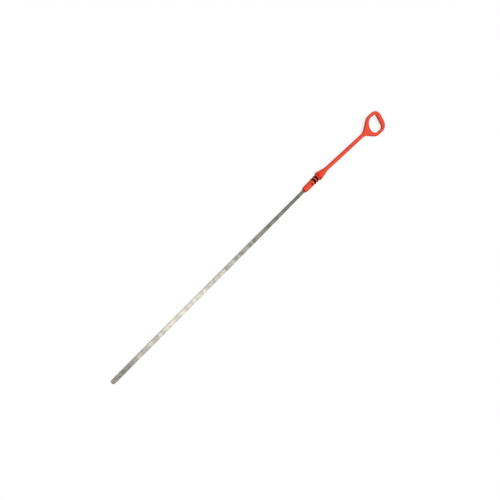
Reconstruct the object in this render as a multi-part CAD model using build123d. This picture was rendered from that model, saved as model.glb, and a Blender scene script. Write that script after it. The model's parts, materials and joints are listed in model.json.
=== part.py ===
from build123d import *
import math
import os

# Engine oil dipstick: a moulded pull handle with a sealing plug, two rubber O-rings
# and a flat steel blade moulded into the plug. Millimetres.
# Modelled along the plug axis: +X from the blade tip to the ring pull, +Z out of the ring's face.
# The flange rim is centred on x = 0, and the finished pieces are then laid down as they rest.

# O-rings, seated in grooves
groove_diameter = 4.8
groove_side_play = 0.5
o_ring_section = 2.6
o_ring_flattening = 0.1
o_ring_seat_gap = 0.02

# Plug: nose, grooves and flange, turned about X
nose_end_x = -34.4
nose_diameter = 8.8
nose_tip_diameter = 7.0
nose_tip_bevel = 0.6
lead_in_length = 6.8
lower_groove_x = -13.5
upper_groove_x = -7.7
flange_diameter = 12.3
rim_thickness = 2.4
rim_round = 0.35
seat_cone_length = 1.9
top_cone_end_x = 19.6
cone_bury = 0.1

# Stem and ring pull: one section, with edges rounded by at most a share of the ring's side bar.
# The stem and the cone under it lean to one side of the plug axis, by an angle in degrees.
pull_thickness = 5.0
pull_edge_round = 1.8
largest_round_share = 0.45
stem_width = 5.4
stem_lean = -2.1
stem_start_x = 7.0
flare_start_x = 109.1
shoulder_x = 128.6
ring_end_x = 155.1
ring_width = 33.0
ring_side_width = 4.5
ring_end_width = 7.5
flare_round = 18.0
shoulder_round = 14.0
end_corner_round = 11.5
opening_start_x = 123.4
opening_corner_round = 5.0

# Blade: a flat strip with rounded edges, narrowed towards the plug
blade_tip_x = -388.9
blade_width = 5.7
blade_thickness = 1.2
blade_edge_round = 0.2
taper_start_x = -141.9
tang_width = 4.5
tang_end_x = -16.4
level_hole_diameter = 1.8
low_mark_from_tip = 11.0
full_mark_from_tip = 30.0

# Hold of the plug on the tang
anchor_hole_diameter = 2.4
anchor_hole_x = -28.0
pin_hole_diameter = 3.0
pin_hole_x = -20.0

cut_margin = 2.0
pick_margin = 0.01


def corners_at(outline, x):
    """Corners of a flat outline that lie at one x."""
    return outline.vertices().filter_by_position(Axis.X, x - pick_margin, x + pick_margin)


# Blade: stamped plan with a round tip, level holes and an anchor hole in the tang
tip_centre_x = blade_tip_x + blade_width / 2
plan = make_face(
    Polyline(
        (tang_end_x, -tang_width / 2),
        (tang_end_x, tang_width / 2),
        (nose_end_x, tang_width / 2),
        (taper_start_x, blade_width / 2),
        (tip_centre_x, blade_width / 2),
        (tip_centre_x, -blade_width / 2),
        (taper_start_x, -blade_width / 2),
        (nose_end_x, -tang_width / 2),
        close=True,
    )
)
plan += Pos(tip_centre_x, 0) * Circle(blade_width / 2)
plan -= Pos(blade_tip_x + low_mark_from_tip, 0) * Circle(level_hole_diameter / 2)
plan -= Pos(blade_tip_x + full_mark_from_tip, 0) * Circle(level_hole_diameter / 2)
plan -= Pos(anchor_hole_x, 0) * Circle(anchor_hole_diameter / 2)
half_thickness = blade_thickness / 2
blade = extrude(plan, amount=half_thickness, both=True)
flat_faces = blade.faces().filter_by(Axis.Z)
outer_edges = [edge for face in flat_faces for edge in face.outer_wire().edges()]
blade = fillet(outer_edges, blade_edge_round)

# Plug profile: rounded nose, land with two grooves, seat cone and rim
nose_radius = nose_diameter / 2
nose_tip_radius = nose_tip_diameter / 2
groove_radius = groove_diameter / 2
groove_half_width = o_ring_section / 2 + groove_side_play
rim_radius = flange_diameter / 2
rim_half = rim_thickness / 2
lead_in_end_x = nose_end_x + lead_in_length
tip_edge = (nose_end_x + nose_tip_bevel, nose_tip_radius)
plug_outline = [
    Polyline((nose_end_x, 0), (nose_end_x, nose_tip_radius - nose_tip_bevel), tip_edge),
    TangentArc([(lead_in_end_x, nose_radius), tip_edge], tangent=(-1, 0)),
    Polyline(
        (lead_in_end_x, nose_radius),
        (-rim_half - seat_cone_length, nose_radius),
        (-rim_half, rim_radius),
        (rim_half, rim_radius),
        (rim_half, 0),
        (nose_end_x, 0),
    ),
]
plug_face = make_face(plug_outline)
rim_corners = plug_face.vertices().sort_by(Axis.Y)[-2:]
plug_face = fillet(rim_corners, rim_round)
groove_cut = Rectangle(
    2 * groove_half_width,
    nose_radius - groove_radius + cut_margin,
    align=(Align.CENTER, Align.MIN),
)
for groove_x in (lower_groove_x, upper_groove_x):
    plug_face -= Pos(groove_x, groove_radius) * groove_cut
plug = revolve(plug_face, Axis.X, 360)

# Stem and ring pull: the stem flares into a loop with a half-round throat and a straight end bar
half_stem = stem_width / 2
half_ring = ring_width / 2
half_opening = half_ring - ring_side_width
pull_face = make_face(
    Polyline(
        (stem_start_x, half_stem),
        (flare_start_x, half_stem),
        (shoulder_x, half_ring),
        (ring_end_x, half_ring),
        (ring_end_x, -half_ring),
        (shoulder_x, -half_ring),
        (flare_start_x, -half_stem),
        (stem_start_x, -half_stem),
        close=True,
    )
)
pull_face = fillet(corners_at(pull_face, flare_start_x), flare_round)
pull_face = fillet(corners_at(pull_face, shoulder_x), shoulder_round)
pull_face = fillet(corners_at(pull_face, ring_end_x), end_corner_round)
throat_x = opening_start_x + half_opening
opening_end_x = ring_end_x - ring_end_width
opening_outline = [
    Polyline(
        (throat_x, half_opening),
        (opening_end_x, half_opening),
        (opening_end_x, -half_opening),
        (throat_x, -half_opening),
    ),
    ThreePointArc((throat_x, -half_opening), (opening_start_x, 0), (throat_x, half_opening)),
]
opening = make_face(opening_outline)
opening = fillet(corners_at(opening, opening_end_x), opening_corner_round)
pull = extrude(pull_face - opening, amount=pull_thickness / 2, both=True)
face_edges = pull.edges().group_by(Axis.Z)[0] + pull.edges().group_by(Axis.Z)[-1]
round_from_x = stem_start_x + pick_margin
edge_round = min(pull_edge_round, largest_round_share * ring_side_width)
pull = fillet([edge for edge in face_edges if edge.center().X > round_from_x], edge_round)

# Upper cone: from inside the rim to the stem, with both ends sunk so that the joins are clean
cone_face = make_face(
    Polyline(
        (rim_half / 2, 0),
        (rim_half / 2, rim_radius - cone_bury),
        (top_cone_end_x, pull_thickness / 2 - cone_bury),
        (top_cone_end_x, 0),
        close=True,
    )
)
pull += revolve(cone_face, Axis.X, 360)
pull = Rot(0, 0, stem_lean) * pull

# Handle: one moulding round the tang, with the holes left by the mould's locating pins
pin_holes = Pos(pin_hole_x, 0, 0) * Cylinder(pin_hole_diameter / 2, nose_diameter + cut_margin)
handle = plug + pull - blade - pin_holes

# O-rings: stretched over the grooves, so each bears on its groove floor with a narrow flat
section_radius = o_ring_section / 2
bearing_radius = groove_radius + o_ring_seat_gap
crown_radius = bearing_radius + o_ring_section - o_ring_flattening
flat_half = math.sqrt(section_radius**2 - (section_radius - o_ring_flattening) ** 2)
o_ring_profile = [
    ThreePointArc((-flat_half, bearing_radius), (0, crown_radius), (flat_half, bearing_radius)),
    Line((flat_half, bearing_radius), (-flat_half, bearing_radius)),
]
o_ring = revolve(make_face(o_ring_profile), Axis.X, 360)
lower_o_ring = Pos(lower_groove_x, 0, 0) * o_ring
upper_o_ring = Pos(upper_groove_x, 0, 0) * o_ring

# Rest on a floor: tilted until the rim and the underside of the tip both touch it
rest_rise = rim_radius - half_thickness
rest_run = -rim_half + rim_round - (blade_tip_x + blade_edge_round)
rest_tilt = math.degrees(math.atan2(rest_rise, rest_run))
pieces = {
    "handle": handle,
    "lower_o_ring": lower_o_ring,
    "upper_o_ring": upper_o_ring,
    "blade": blade,
}
tilted = {name: Rot(0, -rest_tilt, 0) * piece for name, piece in pieces.items()}
box = Compound(list(tilted.values())).bounding_box()
to_floor = Pos(-(box.min.X + box.max.X) / 2, -(box.min.Y + box.max.Y) / 2, -box.min.Z)

os.makedirs("parts", exist_ok=True)
for name, piece in tilted.items():
    export_step(to_floor * piece, os.path.join("parts", name + ".step"))
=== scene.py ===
import json
import math

import bpy
from mathutils import Matrix, Vector


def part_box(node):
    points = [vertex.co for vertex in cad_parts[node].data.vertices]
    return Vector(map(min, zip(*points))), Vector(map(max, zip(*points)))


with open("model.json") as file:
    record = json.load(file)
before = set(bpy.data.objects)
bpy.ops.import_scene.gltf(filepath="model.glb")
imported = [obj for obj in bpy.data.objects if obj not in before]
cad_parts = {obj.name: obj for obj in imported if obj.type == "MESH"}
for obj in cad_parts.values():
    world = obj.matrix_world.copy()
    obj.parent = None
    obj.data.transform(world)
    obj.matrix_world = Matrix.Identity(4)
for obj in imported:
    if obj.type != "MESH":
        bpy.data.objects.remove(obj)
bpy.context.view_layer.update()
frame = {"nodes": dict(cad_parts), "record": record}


# Blade. A flat strip of cold-rolled spring steel, slit to width, with a round tip and two punched
# level holes. It is rolled and brushed lengthwise, and the stretch between the holes is stamped
# with a fine crossed hatch that holds the oil film while the level is read.

def linear(hex_colour):
    """An sRGB hex colour as linear red, green, blue and alpha."""
    parts = [int(hex_colour[i:i + 2], 16) / 255 for i in (1, 3, 5)]
    return [c / 12.92 if c <= 0.04045 else ((c + 0.055) / 1.055) ** 2.4 for c in parts] + [1.0]


def add(tree, kind, inputs, **settings):
    """Adds one node, sets its fields, and fills its inputs with values or with other nodes' sockets."""
    node = tree.nodes.new(kind)
    for name, value in settings.items():
        setattr(node, name, value)
    for key, value in inputs.items():
        if isinstance(value, bpy.types.NodeSocket):
            tree.links.new(value, node.inputs[key])
        else:
            node.inputs[key].default_value = value
    return node


# The dipstick lies on its flange rim and its blade tip, so its long axis rises towards the ring.
# Patterns are placed in millimetres along that axis, counted from the middle of the flange rim.
plug_mount = next(mount for mount in frame["record"]["mounts"] if mount["name"] == "plug_nose")
plug_axis = -Vector(plug_mount["axis"])
axis_tilt = math.atan2(plug_axis.z, plug_axis.x)
rim_above_mount = 0.02145
rim_centre = Vector(plug_mount["pos_m"]) + plug_axis * rim_above_mount


def axis_place(point):
    """Millimetres along the dipstick's axis from the flange rim to a point of the frame."""
    return (point - rim_centre).dot(plug_axis) * 1000


def axis_millimetres(tree):
    """Object coordinates turned to the dipstick's own axis: x along it, z out of the ring's face."""
    turn = Matrix.Rotation(axis_tilt, 3, "Y")
    spot = add(tree, "ShaderNodeTexCoord", {})
    return add(tree, "ShaderNodeMapping", {
        "Vector": spot.outputs["Object"],
        "Scale": (1000, 1000, 1000),
        "Rotation": (0, axis_tilt, 0),
        "Location": turn @ rim_centre * -1000,
    }).outputs["Vector"]


blade = frame["nodes"]["blade"]
blade_tip_x = axis_place(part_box("blade")[0])
hatch_start_x = blade_tip_x + 12.6
hatch_end_x = blade_tip_x + 28.4
hatch_pitch = 1.1
hatch_depth = 0.06
grain_width = 0.4
grain_length = 30.0
grain_depth = 0.006
wave_length = 7.5
wave_height = 0.18
patch_length = 9.0
dullest_patch = 0.80
brightest_patch = 1.18
smoothest_steel = 0.20
roughest_steel = 0.32

steel = bpy.data.materials.new("rolled_spring_steel")
steel.use_nodes = True
tree = steel.node_tree
steel_shader = tree.nodes["Principled BSDF"]
steel_shader.inputs["Metallic"].default_value = 1.0
spot = axis_millimetres(tree)
along = add(tree, "ShaderNodeSeparateXYZ", {"Vector": spot})

# Rolling grain: streaks far longer than wide, which vary the tone and the gloss. Real ones are finer
# than a tenth of a millimetre, and these are drawn coarser so that they show.
grain_space = add(tree, "ShaderNodeMapping", {
    "Vector": spot, "Scale": (1 / grain_length, 1 / grain_width, 1 / grain_width),
})
grain = add(tree, "ShaderNodeTexNoise", {
    "Vector": grain_space.outputs["Vector"], "Scale": 1.0, "Detail": 3.0, "Roughness": 0.6,
})

# Slight waviness of the strip, which breaks a lamp's reflection into flecks.
wave_space = add(tree, "ShaderNodeMapping", {
    "Vector": spot, "Scale": (1 / wave_length, 0.5 / wave_length, 1 / wave_length),
})
wave = add(tree, "ShaderNodeTexNoise", {
    "Vector": wave_space.outputs["Vector"], "Scale": 1.0, "Detail": 2.0, "Roughness": 0.5,
})

# Patchy polish left by the rolls: paler and duller spots that follow one another along the strip.
patch_space = add(tree, "ShaderNodeMapping", {
    "Vector": spot, "Scale": (1 / patch_length, 0.5 / patch_length, 0.5 / patch_length),
})
patches = add(tree, "ShaderNodeTexNoise", {
    "Vector": patch_space.outputs["Vector"], "Scale": 1.0, "Detail": 1.0, "Roughness": 0.4,
})
polish = add(tree, "ShaderNodeMapRange", {
    "Value": patches.outputs["Fac"], "From Min": 0.38, "From Max": 0.62,
    "To Min": dullest_patch, "To Max": brightest_patch,
})

# Level hatch: two sets of grooves, crossed, only between the level holes. Real ones are about half
# a millimetre apart, and these are drawn coarser so that they show.
# One repeat of a band texture is 0.31416 units long at scale 1.
grooves = []
for turn in (45, -45):
    band_space = add(tree, "ShaderNodeMapping", {
        "Vector": spot, "Rotation": (0, 0, math.radians(turn)),
    })
    band = add(tree, "ShaderNodeTexWave", {
        "Vector": band_space.outputs["Vector"], "Scale": 0.31416 / hatch_pitch,
    }, bands_direction="X", wave_profile="SIN")
    grooves.append(band.outputs["Fac"])
crossed = add(tree, "ShaderNodeMath", {0: grooves[0], 1: grooves[1]}, operation="MAXIMUM")
groove_depth = add(tree, "ShaderNodeMapRange", {
    "Value": crossed.outputs[0], "From Min": 0.75, "From Max": 0.97,
}, interpolation_type="SMOOTHSTEP")
past_start = add(tree, "ShaderNodeMath", {
    0: along.outputs["X"], 1: hatch_start_x,
}, operation="GREATER_THAN")
before_end = add(tree, "ShaderNodeMath", {
    0: along.outputs["X"], 1: hatch_end_x,
}, operation="LESS_THAN")
hatch_zone = add(tree, "ShaderNodeMath", {
    0: past_start.outputs[0], 1: before_end.outputs[0],
}, operation="MULTIPLY")
hatch = add(tree, "ShaderNodeMath", {
    0: groove_depth.outputs[0], 1: hatch_zone.outputs[0],
}, operation="MULTIPLY")

# Slit edges: sheared and duller than the rolled faces; their darker colour is painted shade.
facing = add(tree, "ShaderNodeNewGeometry", {})
upright = add(tree, "ShaderNodeSeparateXYZ", {"Vector": facing.outputs["Normal"]})
flatness = add(tree, "ShaderNodeMath", {0: upright.outputs["Z"]}, operation="ABSOLUTE")
slit_edge_shade = add(tree, "ShaderNodeMapRange", {
    "Value": flatness.outputs[0], "From Min": 0.85, "From Max": 0.45,
}, interpolation_type="SMOOTHSTEP")

# Tone: warm grey steel, streaked by the grain, and darker in the hatch grooves and on the slit edges, where
# the darkening is painted shade.
streaked = add(tree, "ShaderNodeMix", {
    0: grain.outputs["Fac"], 6: linear("#ABA79B"), 7: linear("#CFCCC0"),
}, data_type="RGBA")
polished = add(tree, "ShaderNodeVectorMath", {
    0: streaked.outputs[2], "Scale": polish.outputs[0],
}, operation="SCALE")
# Painted shade: the hatch grooves are coloured darker.
hatch_shaded = add(tree, "ShaderNodeMix", {
    0: hatch.outputs[0], 6: polished.outputs[0], 7: linear("#A39F95"),
}, data_type="RGBA")
# Painted shade: the slit edges are darkened.
toned = add(tree, "ShaderNodeMix", {
    0: slit_edge_shade.outputs[0], 6: hatch_shaded.outputs[2], 7: linear("#4A4844"),
}, data_type="RGBA")
tree.links.new(toned.outputs[2], steel_shader.inputs["Base Color"])
gloss = add(tree, "ShaderNodeMapRange", {
    "Value": grain.outputs["Fac"], "From Min": 0.3, "From Max": 0.7,
    "To Min": smoothest_steel, "To Max": roughest_steel,
})
tree.links.new(gloss.outputs[0], steel_shader.inputs["Roughness"])
waved = add(tree, "ShaderNodeBump", {
    "Strength": 1.0, "Distance": wave_height / 1000, "Height": wave.outputs["Fac"],
})
grained = add(tree, "ShaderNodeBump", {
    "Strength": 0.35, "Distance": grain_depth / 1000, "Height": grain.outputs["Fac"],
    "Normal": waved.outputs["Normal"],
})
hatched = add(tree, "ShaderNodeBump", {
    "Strength": 0.8, "Distance": hatch_depth / 1000, "Height": hatch.outputs[0],
    "Normal": grained.outputs["Normal"],
}, invert=True)
tree.links.new(hatched.outputs["Normal"], steel_shader.inputs["Normal"])
blade.data.materials.clear()
blade.data.materials.append(steel)


# Handle. One red-orange nylon moulding, run round the blade's tang: plug nose, two O-ring grooves,
# seat cone and flange, stem and ring pull. The mould splits along the flat of the ring, which leaves
# a thin line round its edges, and its spark-cut walls leave a fine even grain.

handle = frame["nodes"]["handle"]
flow_length = 14.0
mould_grain = 0.45
mould_grain_depth = 0.04
split_line_width = 0.3
split_line_height = 0.08
smoothest_nylon = 0.46
roughest_nylon = 0.58
nose_skin_radius = 4.3
pin_hole_x = -20.0
pin_hole_reach = 1.7
groove_reach = 2.0
seat_foot_x = -2.9
seat_foot_reach = 1.6

nylon = bpy.data.materials.new("moulded_red_nylon")
nylon.use_nodes = True
tree = nylon.node_tree
nylon_shader = tree.nodes["Principled BSDF"]
nylon_shader.inputs["IOR"].default_value = 1.53
nylon_shader.inputs["Specular IOR Level"].default_value = 0.25
spot = axis_millimetres(tree)
across = add(tree, "ShaderNodeSeparateXYZ", {"Vector": spot})

# Flow of the melt: broad, faint changes of tone along the moulding.
flow_space = add(tree, "ShaderNodeMapping", {
    "Vector": spot, "Scale": (1 / flow_length, 2 / flow_length, 2 / flow_length),
})
flow = add(tree, "ShaderNodeTexNoise", {
    "Vector": flow_space.outputs["Vector"], "Scale": 1.0, "Detail": 2.0,
})
dyed = add(tree, "ShaderNodeMix", {
    0: flow.outputs["Fac"], 6: linear("#F2482F"), 7: linear("#FB563C"),
}, data_type="RGBA")

# Split line: a low ridge, a little paler, where the two halves of the mould met.
height = add(tree, "ShaderNodeMath", {0: across.outputs["Z"]}, operation="ABSOLUTE")
split_line = add(tree, "ShaderNodeMapRange", {
    "Value": height.outputs[0], "From Min": split_line_width / 2, "From Max": 0.0,
}, interpolation_type="SMOOTHSTEP")
coloured = add(tree, "ShaderNodeMix", {
    0: split_line.outputs[0], 6: dyed.outputs[2], 7: linear("#F8705A"),
}, data_type="RGBA")

# Hollows: inside the nose's skin, the pin hole and the O-ring grooves are coloured darker as painted shade.
# Each has its place along the axis, its reach to either side and its colour.
o_ring_places = {}
for name in ("lower_o_ring", "upper_o_ring"):
    low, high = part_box(name)
    o_ring_places[name] = axis_place((low + high) / 2)
hollow_shades = [(pin_hole_x, pin_hole_reach, "#9A2010")]
hollow_shades += [(place, groove_reach, "#3A0E08") for place in o_ring_places.values()]
axis_spread = add(tree, "ShaderNodeCombineXYZ", {
    "Y": across.outputs["Y"], "Z": across.outputs["Z"],
})
axis_radius = add(tree, "ShaderNodeVectorMath", {0: axis_spread.outputs[0]}, operation="LENGTH")
sunk = add(tree, "ShaderNodeMath", {
    0: axis_radius.outputs["Value"], 1: nose_skin_radius,
}, operation="LESS_THAN")
for middle_x, reach, shade_colour in hollow_shades:
    near_hollow = add(tree, "ShaderNodeMath", {
        0: across.outputs["X"], 1: middle_x, 2: reach,
    }, operation="COMPARE")
    # Painted shade: the hollow's walls are coloured darker.
    hollow_shade = add(tree, "ShaderNodeMath", {
        0: sunk.outputs[0], 1: near_hollow.outputs[0],
    }, operation="MULTIPLY")
    coloured = add(tree, "ShaderNodeMix", {
        0: hollow_shade.outputs[0], 6: coloured.outputs[2], 7: linear(shade_colour),
    }, data_type="RGBA")

# Seat foot: a soft band of deeper red, painted shade in the corner where the seat cone rises from the nose.
foot_offset = add(tree, "ShaderNodeMath", {
    0: across.outputs["X"], 1: seat_foot_x,
}, operation="SUBTRACT")
foot_distance = add(tree, "ShaderNodeMath", {0: foot_offset.outputs[0]}, operation="ABSOLUTE")
foot_shade = add(tree, "ShaderNodeMapRange", {
    "Value": foot_distance.outputs[0], "From Min": seat_foot_reach, "From Max": 0.0,
}, interpolation_type="SMOOTHSTEP")
coloured = add(tree, "ShaderNodeMix", {
    0: foot_shade.outputs[0], 6: coloured.outputs[2], 7: linear("#E41404"),
}, data_type="RGBA")
tree.links.new(coloured.outputs[2], nylon_shader.inputs["Base Color"])

# Mould grain: the even pitting of a spark-cut mould. Real pits are about a twentieth of a millimetre
# across, and these are drawn coarser so that they show.
pores = add(tree, "ShaderNodeTexNoise", {
    "Vector": spot, "Scale": 1 / mould_grain, "Detail": 2.0, "Roughness": 0.6,
})
sheen = add(tree, "ShaderNodeMapRange", {
    "Value": pores.outputs["Fac"], "From Min": 0.3, "From Max": 0.7,
    "To Min": smoothest_nylon, "To Max": roughest_nylon,
})
tree.links.new(sheen.outputs[0], nylon_shader.inputs["Roughness"])
grainy = add(tree, "ShaderNodeBump", {
    "Strength": 0.35, "Distance": mould_grain_depth / 1000, "Height": pores.outputs["Fac"],
})
ridged = add(tree, "ShaderNodeBump", {
    "Strength": 0.8, "Distance": split_line_height / 1000, "Height": split_line.outputs[0],
    "Normal": grainy.outputs["Normal"],
})
tree.links.new(ridged.outputs["Normal"], nylon_shader.inputs["Normal"])
handle.data.materials.clear()
handle.data.materials.append(nylon)


# O-rings. Two black nitrile rubber rings, stretched over the plug nose into their grooves. Each has
# a faint moulding line round its crown and the dull, slightly waxy skin of cured rubber. The skin's
# unevenness is drawn coarser than the real one so that it shows.

skin_grain = 0.5
skin_depth = 0.04
crown_line_width = 0.25
crown_line_height = 0.05
smoothest_rubber = 0.42
roughest_rubber = 0.58

for name, middle_x in o_ring_places.items():
    rubber = bpy.data.materials.new("nitrile_rubber_" + name)
    rubber.use_nodes = True
    tree = rubber.node_tree
    rubber_shader = tree.nodes["Principled BSDF"]
    rubber_shader.inputs["IOR"].default_value = 1.52
    rubber_shader.inputs["Specular IOR Level"].default_value = 0.15
    spot = axis_millimetres(tree)
    along = add(tree, "ShaderNodeSeparateXYZ", {"Vector": spot})
    skin = add(tree, "ShaderNodeTexNoise", {
        "Vector": spot, "Scale": 1 / skin_grain, "Detail": 3.0, "Roughness": 0.6,
    })
    crown_line = add(tree, "ShaderNodeMath", {
        0: along.outputs["X"], 1: middle_x, 2: crown_line_width / 2,
    }, operation="COMPARE")
    waxy = add(tree, "ShaderNodeMix", {
        0: skin.outputs["Fac"], 6: linear("#060505"), 7: linear("#131111"),
    }, data_type="RGBA")
    tree.links.new(waxy.outputs[2], rubber_shader.inputs["Base Color"])
    dull = add(tree, "ShaderNodeMapRange", {
        "Value": skin.outputs["Fac"], "From Min": 0.3, "From Max": 0.7,
        "To Min": smoothest_rubber, "To Max": roughest_rubber,
    })
    tree.links.new(dull.outputs[0], rubber_shader.inputs["Roughness"])
    skinned = add(tree, "ShaderNodeBump", {
        "Strength": 0.3, "Distance": skin_depth / 1000, "Height": skin.outputs["Fac"],
    })
    lined = add(tree, "ShaderNodeBump", {
        "Strength": 0.6, "Distance": crown_line_height / 1000, "Height": crown_line.outputs[0],
        "Normal": skinned.outputs["Normal"],
    })
    tree.links.new(lined.outputs["Normal"], rubber_shader.inputs["Normal"])
    o_ring = frame["nodes"][name]
    o_ring.data.materials.clear()
    o_ring.data.materials.append(rubber)


# Floor. A plain sheet of white paper. To the eye and in the steel it is full white, while the light
# that it throws back on the dipstick is that of a middle grey. The contact shade goes by how much of
# the sky a spot of the floor sees, from 0 to 1.

floor_reach = 6.0
paper_glow = 0.8
contact_shade_reach = 0.002
walled_in = 0.2
beside_edge = 0.6


def seen(tree):
    """1 on rays that the eye follows, straight, mirrored or through glass, and 0 on rays that only light."""
    ray = add(tree, "ShaderNodeLightPath", {})
    mirrored = add(tree, "ShaderNodeMath", {
        0: ray.outputs["Is Camera Ray"], 1: ray.outputs["Is Glossy Ray"],
    }, operation="MAXIMUM")
    return add(tree, "ShaderNodeMath", {
        0: mirrored.outputs[0], 1: ray.outputs["Is Transmission Ray"],
    }, operation="MAXIMUM").outputs[0]


floor_mesh = bpy.data.meshes.new("floor")
floor_corners = [(x * floor_reach, y * floor_reach, 0) for x, y in ((-1, -1), (1, -1), (1, 1), (-1, 1))]
floor_mesh.from_pydata(floor_corners, [], [(0, 1, 2, 3)])
floor = bpy.data.objects.new("floor", floor_mesh)
bpy.context.scene.collection.objects.link(floor)
paper = bpy.data.materials.new("white_paper")
paper.use_nodes = True
tree = paper.node_tree
paper_shader = tree.nodes["Principled BSDF"]
paper_shader.inputs["Base Color"].default_value = linear("#808080")
paper_shader.inputs["Roughness"].default_value = 0.9
paper_shader.inputs["Specular IOR Level"].default_value = 0.0

# Contact shade: dark where the floor is walled in, as under the level holes, and clear beside an edge.
shelter = add(tree, "ShaderNodeAmbientOcclusion", {"Distance": contact_shade_reach})
open_floor = add(tree, "ShaderNodeMapRange", {
    "Value": shelter.outputs["AO"], "From Min": walled_in, "From Max": beside_edge,
})
whiteness = add(tree, "ShaderNodeMath", {
    0: seen(tree), 1: open_floor.outputs[0],
}, operation="MULTIPLY")
glow_level = add(tree, "ShaderNodeMath", {
    0: whiteness.outputs[0], 1: paper_glow,
}, operation="MULTIPLY")
glow = add(tree, "ShaderNodeEmission", {"Color": (1, 1, 1, 1), "Strength": glow_level.outputs[0]})
glowing_paper = add(tree, "ShaderNodeAddShader", {
    0: paper_shader.outputs["BSDF"], 1: glow.outputs["Emission"],
})
tree.links.new(glowing_paper.outputs[0], tree.nodes["Material Output"].inputs["Surface"])
floor_mesh.materials.append(paper)


# Room. A grey ceiling over dim walls, which give soft light. Where the walls are seen or mirrored,
# their lower part is as white as the paper. Heights are the upward part of a direction, from 0 to 1.

white_wall_top = 0.30
wall_top = 0.45
ceiling_edge = 0.70
wall_light = 0.10
ceiling_light = 0.37

room = bpy.data.worlds.new("room")
bpy.context.scene.world = room
room.use_nodes = True
tree = room.node_tree
heading = add(tree, "ShaderNodeTexCoord", {})
rise = add(tree, "ShaderNodeSeparateXYZ", {"Vector": heading.outputs["Generated"]})
ceiling = add(tree, "ShaderNodeMapRange", {
    "Value": rise.outputs["Z"], "From Min": wall_top, "From Max": ceiling_edge,
    "To Min": wall_light, "To Max": ceiling_light,
}, interpolation_type="SMOOTHSTEP")
low_wall = add(tree, "ShaderNodeMapRange", {
    "Value": rise.outputs["Z"], "From Min": wall_top, "From Max": white_wall_top,
}, interpolation_type="SMOOTHSTEP")
white_wall = add(tree, "ShaderNodeMath", {
    0: low_wall.outputs[0], 1: seen(tree),
}, operation="MULTIPLY")
level = add(tree, "ShaderNodeMix", {
    0: white_wall.outputs[0], 2: ceiling.outputs[0], 3: 1.0,
})
tree.links.new(level.outputs[0], tree.nodes["Background"].inputs["Strength"])
tree.nodes["Background"].inputs["Color"].default_value = (1, 1, 1, 1)


# Lamps. A softbox behind the dipstick, which the middle of the blade mirrors to the camera, and a
# wide soft light from above that gives the handle its shading.

softbox_brightness = 1.8
softbox = bpy.data.lights.new("softbox", "AREA")
softbox.shape = "RECTANGLE"
softbox.size = 0.40
softbox.size_y = 0.64
softbox.energy = softbox_brightness * math.pi * softbox.size * softbox.size_y
softbox_object = bpy.data.objects.new("softbox", softbox)
softbox_object.location = (0.32, -0.596, 1.5)
softbox_aim = Vector((-0.15, 0.0, 0.0)) - softbox_object.location
softbox_object.rotation_euler = softbox_aim.to_track_quat("-Z", "Y").to_euler()
bpy.context.scene.collection.objects.link(softbox_object)

overhead_light = bpy.data.lights.new("overhead_light", "SUN")
overhead_light.energy = 2.1
overhead_light.angle = math.radians(40)
overhead_object = bpy.data.objects.new("overhead_light", overhead_light)
overhead_aim = Vector((0.28, -0.16, -0.945))
overhead_object.rotation_euler = overhead_aim.to_track_quat("-Z", "Y").to_euler()
overhead_object.visible_glossy = False
bpy.context.scene.collection.objects.link(overhead_object)


# Camera. Above the blade, on its tip side, so that the dipstick runs from corner to corner of a square
# picture. Its place and its turn were fitted to the dipstick's outline in the photograph.

camera = bpy.data.cameras.new("camera")
camera.lens = 43.2
camera.sensor_width = 36.0
camera_object = bpy.data.objects.new("camera", camera)
camera_object.location = (-0.37266, 0.26031, 0.63947)
camera_object.rotation_euler = [math.radians(turn) for turn in (1.7522, -33.7343, -40.9133)]
bpy.context.scene.collection.objects.link(camera_object)
bpy.context.scene.camera = camera_object

bpy.context.scene.view_settings.view_transform = "Standard"
